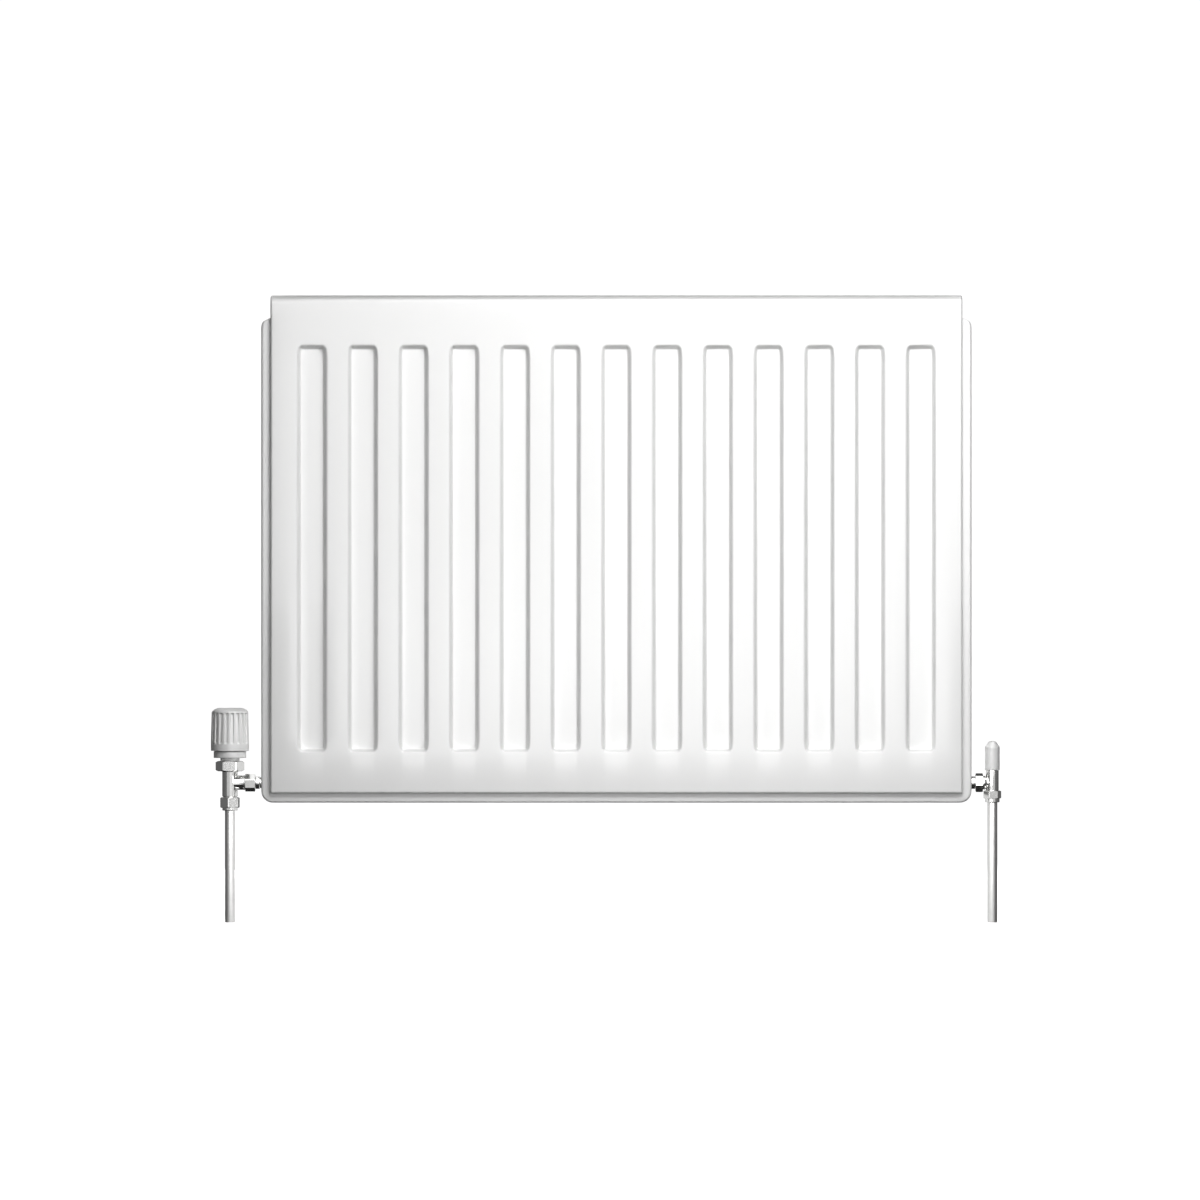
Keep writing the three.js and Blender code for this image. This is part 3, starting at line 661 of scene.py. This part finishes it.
def edge_rings(flange_end, hem):
    """The section from the face's edge outwards: (offset, depth, corner radius)."""
    rings = []
    count = 6
    for k in range(count + 1):
        angle = math.pi / 2 * k / count
        rings.append((EDGE_ROUND * math.sin(angle), EDGE_ROUND * (1 - math.cos(angle)),
                      FACE_CORNER * k / count))
    for k in range(5):
        angle = math.pi / 2 * k / 4
        rings.append((EDGE_ROUND + EDGE_FILLET * (1 - math.cos(angle)),
                      FLANGE_DEPTH - EDGE_FILLET + EDGE_FILLET * math.sin(angle),
                      FACE_CORNER + 0.5 * k))
    outer = EDGE_ROUND + flange_end
    round_off = HEM_ROUND if hem else 0.0
    rings.append((outer - round_off - 2.5, FLANGE_DEPTH, 9.0))
    rings.append((outer - round_off, FLANGE_DEPTH, RIM_CORNER - round_off))
    if hem:
        for k in range(1, 7):
            angle = math.pi / 2 * k / 6
            rings.append((outer - round_off + round_off * math.sin(angle),
                          FLANGE_DEPTH + round_off * (1 - math.cos(angle)), RIM_CORNER))
        for k in range(5):
            angle = math.pi / 2 * k / 4
            rings.append((outer - HEM_BACK_ROUND + HEM_BACK_ROUND * math.cos(angle),
                          HEM_DEPTH - HEM_BACK_ROUND + HEM_BACK_ROUND * math.sin(angle),
                          RIM_CORNER - 1))
        rings.append((outer - 4, HEM_DEPTH, RIM_CORNER - 4))
    return rings


def sheet_edge(mesh, columns, rows, rings, depth_at, to_y):
    """Lofts the sheet's sides and bottom from the face's edge out to the rim."""
    edge = columns[-1]
    low = rows[0]
    corner_steps = 8
    loops = []
    for offset, depth, corner in rings:
        beyond = max(offset - EDGE_ROUND, 0)
        shift = max(offset - corner, 0)
        loop = []
        for side in (-1, 1):
            column = []
            for z in reversed(rows[1:]) if side < 0 else rows[1:]:
                wide = offset if beyond == 0 else EDGE_ROUND + beyond * rim_reach(z)
                column.append((side * (edge + wide), to_y(max(depth, depth_at(z))), z))
            corners = []
            for k in range(corner_steps + 1):
                angle = math.pi / 2 * k / corner_steps
                x = edge + shift + min(corner, offset) * math.cos(angle)
                z = low - shift - min(corner, offset) * math.sin(angle)
                corners.append((side * x, to_y(depth), z))
            if side < 0:
                loop += column + corners
                loop += [(x, to_y(depth), low - offset) for x in columns[1:-1]]
            else:
                loop += corners[::-1] + column
        loops.append(loop)
    patch(mesh, loops)


def thicken(piece):
    """Gives a sheet its thickness, inwards from its outer face."""
    modifier = piece.modifiers.new("thickness", "SOLIDIFY")
    modifier.thickness = SHEET * MM
    modifier.offset = -1
    modifier.use_even_offset = False


def face_outwards(mesh, direction):
    """Turns the sheet's faces so that its flat face points the given way along y."""
    tidy(mesh)
    largest = max(mesh.faces, key=lambda face: face.calc_area())
    if largest.normal.y * direction < 0:
        bmesh.ops.reverse_faces(mesh, faces=mesh.faces[:])


def front_sheet():
    """The front panel: its ribbed face, the rolled top with eased ends, and the hemmed rim."""
    edge = FACE_HALF - EDGE_ROUND
    columns = sheet_columns(edge)
    rows = sheet_rows(FACE_BOTTOM + EDGE_ROUND, CROWN)
    mesh = bmesh.new()
    patch(mesh, [[(x, valley_depth(x, z), z) for x in columns] for z in rows])

    upper = [z for z in rows if z >= LIP_Z - 1e-6]
    arc = [math.pi * k / 20 for k in range(21)]
    roll = [(ROLL_RADIUS * (1 - math.cos(a)), CROWN + ROLL_RADIUS * math.sin(a)) for a in arc]
    back = [(PANEL_DEPTH, z) for z in reversed(upper)]
    patch(mesh, [[(x, y, z) for x in columns] for y, z in roll + back[1:]])

    # The roll's ends: an eased edge all round, then a flat cap.
    path = [(0.0, z, -1.0, 0.0) for z in upper[:-1]]
    path += [(y, z, -math.cos(a), math.sin(a)) for (y, z), a in zip(roll, arc)]
    path += [(PANEL_DEPTH, z, 1.0, 0.0) for z in reversed(upper[:-1])]
    ease_run = max(CROWN - LIP_Z, 1)
    for side in (-1, 1):
        edged = []
        for y, z, ny, nz in path:
            share = smooth((z - LIP_Z) / ease_run)
            ease = EDGE_ROUND + (ROLL_END_ROUND - EDGE_ROUND) * share
            row = [(side * edge, y, z)]
            for k in range(7):
                angle = math.pi / 2 * k / 6
                drop = ease * (1 - math.cos(angle))
                x = side * (FACE_HALF - ease + ease * math.sin(angle))
                row.append((x, y - ny * drop, z - nz * drop))
            edged.append(row)
        patch(mesh, edged)
        half = len(edged) // 2
        cap = []
        for i in range(half + 1):
            first = Vector(edged[i][-1])
            last = Vector(edged[len(edged) - 1 - i][-1])
            cap.append([tuple(first.lerp(last, share)) for share in (0, 1 / 6, 0.5, 1)])
        patch(mesh, cap)

    lower = [z for z in rows if z <= LIP_Z + 1e-6]
    sheet_edge(mesh, columns, lower, edge_rings(RIM_WIDTH, True), lambda z: 0, lambda d: d)
    face_outwards(mesh, -1)
    thicken(add_piece("front_panel", mesh, sharp=60))


def rear_sheet():
    """The rear panel, with a stepped tab that goes up behind the front panel's lip."""
    edge = FACE_HALF - EDGE_ROUND
    top = LIP_Z - GAP
    tab_depth = SHEET + GAP
    columns = sheet_columns(edge)
    rows = merged(sheet_rows(FACE_BOTTOM + EDGE_ROUND, top), steps(top - 4, top - 1, 0.5))

    def joggle(z):
        return tab_depth * smooth((z - top + 4) / 3)

    mesh = bmesh.new()
    everything = rows + steps(top, REAR_TOP, 3)[1:]
    patch(mesh, [[(x, PANEL_DEPTH - max(valley_depth(x, z), joggle(z)), z) for x in columns]
                 for z in everything])
    sheet_edge(mesh, columns, rows, edge_rings(RIM_WIDTH - SHEET - GAP, False),
               joggle, lambda d: PANEL_DEPTH - d)
    face_outwards(mesh, 1)
    thicken(add_piece("rear_panel", mesh, sharp=60))


front_sheet()
rear_sheet()


# ---- Convector, lugs, brackets and tappings -------------------------------------------------

def build_convector():
    """Folded sheets with a foot on each water channel and a crest over each valley."""
    sheet = 0.8
    foot = 7.5
    lean = 2
    for number in range(1, 5):
        node = f"convector_{number}"
        low, high = local_box(node)
        centre = (low.x + high.x) / 2
        base = low.y + sheet
        line = [(low.x, high.y)]
        for k in (-1, 0, 1):
            x = centre + k * VALLEY_PITCH
            line += [(x - foot - lean + sheet, high.y), (x - foot + sheet, base),
                     (x + foot - sheet, base), (x + foot + lean - sheet, high.y)]
        line.append((high.x, high.y))
        add_piece(node, folded(line[::-1], 1.2, sheet, low.z, high.z), sharp=45)


def build_lugs():
    """Hat-shaped straps with folded feet."""
    sheet = 3
    for level in ("upper", "lower"):
        for side in ("left", "right"):
            node = f"lug_{level}_{side}"
            low, high = local_box(node)
            centre = (low.x + high.x) / 2
            half = 17
            wide = high.x - centre
            line = [(centre - wide, low.y), (centre - half, low.y), (centre - half, high.y - sheet),
                    (centre + half, high.y - sheet), (centre + half, low.y), (centre + wide, low.y)]
            piece = add_piece(node, folded(line, 2.0, sheet, low.z, high.z), sharp=45)
            ease_edges(piece, 0.35, 50)


def build_tappings():
    """Threaded bushes with a chamfered mouth, a saddle and a thread cut in the bore."""
    for level in ("upper", "lower"):
        for side, sign in (("left", -1), ("right", 1)):
            node = f"tapping_{level}_{side}"
            low, high = local_box(node)
            centre = (low + high) / 2
            centre.y = PORT_Y
            half = (high.x - low.x) / 2
            profile = [(0, -half), (12.2, -half), (13, -half + 0.8), (13, half - 0.8), (12.2, half),
                       (11.4, half), (10.6, half - 0.9)]
            floor = half - 16
            z = half - 0.9
            while z - THREAD_PITCH > floor:
                profile += [(10.9, z - THREAD_PITCH / 2), (10.6, z - THREAD_PITCH)]
                z -= THREAD_PITCH
            profile += [(10.6, floor), (0, floor)]
            barrel = placed(turned(profile, 0.1), centre, sign)
            saddle = bmesh.new()
            bmesh.ops.create_cube(saddle, size=1)
            saddle.transform(Matrix.Translation((0, -11.6, 0)) @ Matrix.Diagonal((18, 3.1, 18, 1)))
            bmesh.ops.bevel(saddle, geom=saddle.edges[:], offset=0.8, segments=3, affect="EDGES",
                            profile=0.5)
            add_piece(node, combined(barrel, ("UNION", placed(saddle, centre))))


build_convector()
build_lugs()
build_tappings()
for side in ("left", "right"):
    keep_node(f"wall_bracket_{side}", 0.5)
    for level in ("upper", "lower"):
        keep_node(f"bracket_insert_{level}_{side}", 0.25)


# ---- Upper plugs ---------------------------------------------------------------------------

PLUG_HEAD_START = 2.2
PLUG_END = PLUG_HEAD_START + 6.5


def plug_profile():
    """A plug's outline about its axis, from the tapping's face outwards, with a cut thread."""
    return [(0, -12), (9.4, -12), (THREAD_CREST, -11), *thread(9.9, THREAD_CREST, -11, -1.4),
            (THREAD_CREST, PLUG_HEAD_START), (13, PLUG_HEAD_START), (13, PLUG_HEAD_START + 2),
            (12.5, PLUG_HEAD_START + 2.5), (10, PLUG_HEAD_START + 2.5), (10, PLUG_END - 0.8),
            (9.2, PLUG_END), (0, PLUG_END)]


def build_plugs():
    """The blanking plug on the left, and the air vent with its bleed screw on the right."""
    face_left = local_box("tapping_upper_left")[0].x
    face_right = local_box("tapping_upper_right")[1].x
    height = middle_of("tapping_upper_left").z
    left = (face_left, PORT_Y, height)
    right = (face_right, PORT_Y, height)
    socket = hex_piece(5.5, PLUG_HEAD_START, PLUG_END + 1,
                       [(0.0, PLUG_END + 1), (0.0, PLUG_HEAD_START)], slope=0)
    blank = combined(turned(plug_profile(), 0.12), ("DIFFERENCE", socket))
    add_piece("blanking_plug", placed(blank, left, -1))
    bore = turned([(0, -5.6), (3.2, -5.6), (3.2, PLUG_END + 1), (0, PLUG_END + 1)], 0.05)
    outlet = turned([(0, 0), (0.9, 0), (0.9, 14), (0, 14)], 0.02, 32)
    sideways = Matrix.Rotation(-math.pi / 2, 4, "X")
    outlet.transform(Matrix.Translation((0, 0, PLUG_END - 2)) @ sideways)
    vent = combined(turned(plug_profile(), 0.12), ("DIFFERENCE", bore), ("DIFFERENCE", outlet))
    add_piece("vent_plug", placed(vent, right, 1))
    seal = [(10.7, 0.3), (12.8, 0.3), (12.8, 1.9), (10.7, 1.9)]
    add_piece("blanking_seal", placed(turned(seal, 0.5), left, -1))
    add_piece("vent_seal", placed(turned(seal, 0.5), right, 1))
    shank = turned([(0, -5.3), (2.4, -3), (2.4, PLUG_END - 3.2), (0, PLUG_END - 3.2)], 0.1, 48)
    head = turned([(0, PLUG_END - 3.3), (2.7, PLUG_END - 3.3), (2.7, PLUG_END + 2.2),
                   (2.3, PLUG_END + 2.6), (0, PLUG_END + 2.6)], 0.1, 48, shape=square_shape(1.9))
    screw = combined(shank, ("UNION", head))
    add_piece("bleed_screw", placed(screw, right, 1))


def square_shape(half):
    """Flattens a turned piece to a square bar with eased corners."""
    def shape(radius, z, angle):
        off = (angle + TURN / 8) % (TURN / 4) - TURN / 8
        return min(radius, half / math.cos(off)), z
    return shape


build_plugs()


# ---- Valve fittings ------------------------------------------------------------------------

UNION_THREAD = 6.6
TAIL_NECK = 4.8
TAIL_BORE = 3.4


def union_nut(corner, start, end, turn):
    inside = [(UNION_THREAD - 1.5, end), (TAIL_NECK + GAP, end - 0.2), (TAIL_NECK + GAP, end - 2.4),
              (UNION_THREAD + GAP, end - 2.4), (UNION_THREAD + GAP, start + 0.3),
              (UNION_THREAD + 0.6, start)]
    return hex_piece(corner, start, end, inside, turn, slope=0.25)


def tail_piece(collar, nut_end, face):
    """The tail from its union collar to its thread in the tapping."""
    rim = UNION_THREAD - 0.2
    profile = [(TAIL_BORE, collar), (rim, collar), (rim, nut_end - 2.8), (TAIL_NECK, nut_end - 2.8),
               (TAIL_NECK, nut_end + 0.4), (6.1, nut_end + 0.4), (6.1, nut_end + 4.2),
               (5.3, nut_end + 4.6), (5.3, face - 6.6), (12, face - 6.6), (12, face - GAP),
               (THREAD_CREST, face - GAP), *thread(9.85, THREAD_CREST, face, face + 11),
               (9.6, face + 13), (TAIL_BORE, face + 13)]
    return turned(profile, 0.3)


def compression_nut(corner, thread, top, shoulder, bottom, collar, collar_bottom, turn):
    inside = [(thread + 0.7, top), (thread + GAP, top - 0.4), (thread + GAP, shoulder),
              (PIPE_RADIUS + GAP, shoulder)]
    below = [(PIPE_RADIUS + GAP, collar_bottom + 0.3), (PIPE_RADIUS + 0.6, collar_bottom),
             (collar - 0.5, collar_bottom), (collar, collar_bottom + 0.5), (collar, bottom)]
    return hex_piece(corner, bottom, top, inside, turn, below)


def olive(outer, low, high):
    inner = PIPE_RADIUS + 0.2
    return turned([(inner, low), (outer - 0.6, low), (outer, low + 0.9), (outer, high - 0.9),
                   (outer - 0.6, high), (inner, high)], 0.3)


def pipe(node, axis):
    """A cut length of pipe on a valve's axis."""
    low, high = local_box(node)
    inner = PIPE_RADIUS - PIPE_WALL
    profile = [(inner, 0), (PIPE_RADIUS, 0), (PIPE_RADIUS, high.z), (inner, high.z)]
    add_piece(node, placed(turned(profile, 0.2), (axis.x, axis.y, low.z)))


def rod(radius, low, high, along=None):
    """A plain round cutter."""
    outline = [(0, low), (radius, low), (radius, high), (0, high)]
    return placed(turned(outline, 0.01, 64), along=along)


# ---- Thermostatic valve --------------------------------------------------------------------

WHEEL_LOW = 31.5
WHEEL_HIGH = 73.9
RIBS_LOW = 37.7
RIBS_HIGH = 68.9
RIB_COUNT = 20
SPRING_FOOT = 5.9


def wheel_shape(radius, z, angle):
    """Cuts the finger flutes into the handwheel's outside."""
    if radius < 17.2 or not RIBS_LOW - 1 < z < RIBS_HIGH + 1:
        return radius, z
    phase = (angle * RIB_COUNT / TURN) % 1 - 0.5
    across = smooth((0.33 - abs(phase)) / 0.16)
    scoop = smooth((RIBS_HIGH - z) / 0.9)
    fade = smooth((z - RIBS_LOW) / 2.5)
    depth = 1.0 + 1.7 * ((z - RIBS_LOW) / (RIBS_HIGH - RIBS_LOW)) ** 2
    return radius - depth * across * scoop * fade, z


def handwheel():
    """A hollow ribbed cap with an inner sleeve that turns on the head's tube."""
    outside = [(18.85, z) for z in steps(RIBS_LOW - 1.2, RIBS_LOW + 4, 0.6)]
    outside += [(18.85 - 0.75 * (z - RIBS_LOW - 4) / 27, z)
                for z in steps(RIBS_LOW + 6, RIBS_HIGH - 3, 4)]
    outside += [(18.1, z) for z in steps(RIBS_HIGH - 2.6, RIBS_HIGH + 0.4, 0.3)]
    outside += [(18.0, WHEEL_HIGH - 4.2), (17.6, WHEEL_HIGH - 3.5), (16.8, WHEEL_HIGH - 2.6),
                (15.2, WHEEL_HIGH - 1.4), (13, WHEEL_HIGH - 0.4), (11.5, WHEEL_HIGH - 0.05),
                (9, WHEEL_HIGH), (0, WHEEL_HIGH)]
    profile = [(16.4, WHEEL_LOW), (18.5, WHEEL_LOW), (18.8, WHEEL_LOW + 0.3), *outside,
               (0, WHEEL_HIGH - 5), (11.9, WHEEL_HIGH - 5), (11.9, WHEEL_LOW), (14.4, WHEEL_LOW),
               (14.4, WHEEL_HIGH - 5), (15, WHEEL_HIGH - 6), (15, RIBS_LOW + 8), (16.4, RIBS_LOW)]
    mesh = bmesh.new()
    patch(mesh, ring_rows(profile, 20 * RIB_COUNT, wheel_shape), closed=True)
    tidy(mesh)
    return mesh


def head_base():
    """The head's collar and dial ring, and the ringed tube that the handwheel turns on."""
    tube = [(11.5, 31.2)]
    z = 32.5
    while z < 56:
        tube += [(11.5, z), (11.15, z + 0.7), (11.5, z + 1.4)]
        z += 2.2
    profile = [(4.2, 17.4), (10.4, 17.4), (10.4, 19.3), (8, 19.3), (8, 21.7), (9.5, 21.7),
               (9.5, 24.2), (9.9, 24.5), (15.7, 24.5), (16.1, 24.9), (16.1, 30.7), (15.6, 31.2),
               *tube, (11.5, 58), (9, 58), (9, 22.9), (4.2, 22.9)]
    return turned(profile, 0.15)


def trv_body():
    barrel = turned([(0, -20), (6.7, -20), (7.1, -19.5), (7.1, -13.6), (7.65, -13.2), (7.65, 10.9),
                     (10.4, 12), (10.4, 17), (0, 17)], 0.3)
    branch = placed(turned([(0, 0), (7.05, 0), (7.05, 13.6), (7.4, 13.9), (7.4, 14.4),
                            (6.6, 14.7), (6.6, 19.9), (0, 19.9)], 0.2), along=1)
    return combined(barrel, ("UNION", branch), ("DIFFERENCE", rod(5.9, -3.5, 18)),
                    ("DIFFERENCE", rod(3.2, -18, 0)), ("DIFFERENCE", rod(5.3, -21, -15.7)),
                    ("DIFFERENCE", rod(3.6, 0, 21, 1)))


def return_spring():
    """A helix of round wire between the insert's floor and the pin's collar."""
    turns = 3.5
    bottom = SPRING_FOOT
    top = 10.0
    radius = 2.45
    wire = 0.3
    mesh = bmesh.new()
    rows = []
    count = 84
    for i in range(count + 1):
        t = i / count
        angle = TURN * turns * t
        centre = Vector((radius * math.cos(angle), radius * math.sin(angle),
                         bottom + wire + t * (top - bottom - 2 * wire)))
        outward = Vector((math.cos(angle), math.sin(angle), 0))
        upward = Vector((0, 0, 1))
        rows.append([centre + wire * (math.cos(round_wire) * outward
                                      + math.sin(round_wire) * upward)
                     for round_wire in (TURN * k / 10 for k in range(10))])
    patch(mesh, [[rows[0][0]] * 10] + rows + [[rows[-1][0]] * 10], closed=True)
    tidy(mesh, 0.002)
    return mesh


def build_trv():
    """The thermostatic valve's pieces, by height above the middle of its branch."""
    here = TRV_AXIS
    collar_bore = [(10.2, 21.4), (8.6, 21.4), (8.3, 21.1), (8.3, 19.7), (10.8, 19.7),
                   (10.8, 11.6), (11.1, 11.3)]
    pieces = {
        "trv_body": trv_body(),
        "trv_compression_nut": compression_nut(
            corner=10.3, thread=7.1, top=-14.5, shoulder=-23.2, bottom=-24.9,
            collar=7.55, collar_bottom=-27.5, turn=0.37),
        "trv_olive": olive(6.9, -22.9, -20.3),
        "trv_insert": turned([(1.5, 4), (5.6, 4), (5.6, 16.7), (1.5, 16.7), (1.5, 13.2),
                              (3.8, 13.2), (3.8, 5.5), (1.5, 5.5)], 0.2),
        "trv_spindle": turned([(0, -2.2), (4.4, -2.2), (4.4, -0.6), (1.2, -0.6), (1.2, 10.4),
                               (3.2, 10.4), (3.2, 11.4), (1.2, 11.4), (1.2, 19.6),
                               (0, 19.6)], 0.2),
        "trv_return_spring": return_spring(),
        "trv_collar_nut": hex_piece(14.4, 11.3, 21.4, collar_bore, 0.0),
        "trv_head_base": head_base(),
        "trv_sensor": turned([(0, 20), (2, 20), (2, 28.5), (7.6, 28.5), (7.6, 54), (6.4, 56),
                              (0, 56)], 0.4),
        "trv_handwheel": handwheel(),
    }
    added = {node: add_piece(node, placed(mesh, here)) for node, mesh in pieces.items()}
    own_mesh(added["trv_return_spring"])
    add_piece("trv_union_nut", placed(union_nut(9, 15, 25, 0.14), here, 1))
    face = local_box("tapping_lower_left")[0].x - here.x
    add_piece("trv_tail", placed(tail_piece(20.3, 25, face), here, 1))
    pipe("trv_pipe", here)


build_trv()


# ---- Lockshield valve ----------------------------------------------------------------------

def lockshield_body():
    barrel = turned([(0, -11), (5.8, -11), (6.1, -10.6), (6.1, -7.6), (6.3, -7.2), (6.3, 12.3),
                     (4.8, 12.3), (4.8, 16), (0, 16)], 0.25)
    branch = placed(turned([(0, 0), (5.4, 0), (5.4, 5.5), (6.8, 7.6), (6.8, 8), (6.6, 8.3),
                            (6.6, 12.1), (0, 12.1)], 0.3), along=-1)
    return combined(barrel, ("UNION", branch), ("DIFFERENCE", rod(4.5, -3.5, 12)),
                    ("DIFFERENCE", rod(3, -12, 0)), ("DIFFERENCE", rod(5.3, -12, -9)),
                    ("DIFFERENCE", rod(1.95, 0, 20)), ("DIFFERENCE", rod(3.4, 0, 13, -1)))


def build_lockshield():
    """The lockshield valve's pieces, by height above the middle of its branch."""
    here = LOCKSHIELD_AXIS
    stem = turned([(0, 2.6), (1.6, 2.6), (1.6, 10), (3, 10), (3, 11.4), (1.6, 11.4), (1.6, 23),
                   (0, 23)], 0.15, 48)
    square = turned([(0, 22.5), (1.9, 22.5), (1.9, 27.6), (1.6, 28), (0, 28)], 0.1, 48,
                    square_shape(1.35))
    cap = [(5.9, 12.6), (7.1, 12.6), (7.25, 12.9), (7.25, 34.9), (7.05, 35.7), (6.1, 37.0),
           (4.9, 38.7), (4.0, 40.1), (2.7, 41.0), (0, 41.2), (0, 37), (4, 33), (5.9, 31)]
    pieces = {
        "lockshield_body": lockshield_body(),
        "lockshield_compression_nut": compression_nut(
            corner=9, thread=6.1, top=-7.8, shoulder=-14.1, bottom=-15.7,
            collar=7.15, collar_bottom=-19.4, turn=0.12),
        "lockshield_olive": olive(6.1, -13.8, -11.3),
        "lockshield_gland_nut": hex_piece(5.5, 16.3, 21, [(1.95, 21), (1.95, 16.3)]),
        "lockshield_spindle": combined(stem, ("UNION", square)),
        "lockshield_plug": turned([(0, -2.3), (3.4, -2.3), (4.2, -1.2), (4.2, 6), (1.9, 6),
                                   (1.9, 0), (0, 0)], 0.2),
        "lockshield_cap": turned(cap, 0.3),
    }
    for node, mesh in pieces.items():
        add_piece(node, placed(mesh, here))
    add_piece("lockshield_union_nut", placed(union_nut(9.6, 9.3, 16.6, 0.23), here, -1))
    face = here.x - local_box("tapping_lower_right")[1].x
    add_piece("lockshield_tail", placed(tail_piece(12.4, 16.6, face), here, -1))
    pipe("lockshield_pipe", here)


build_lockshield()
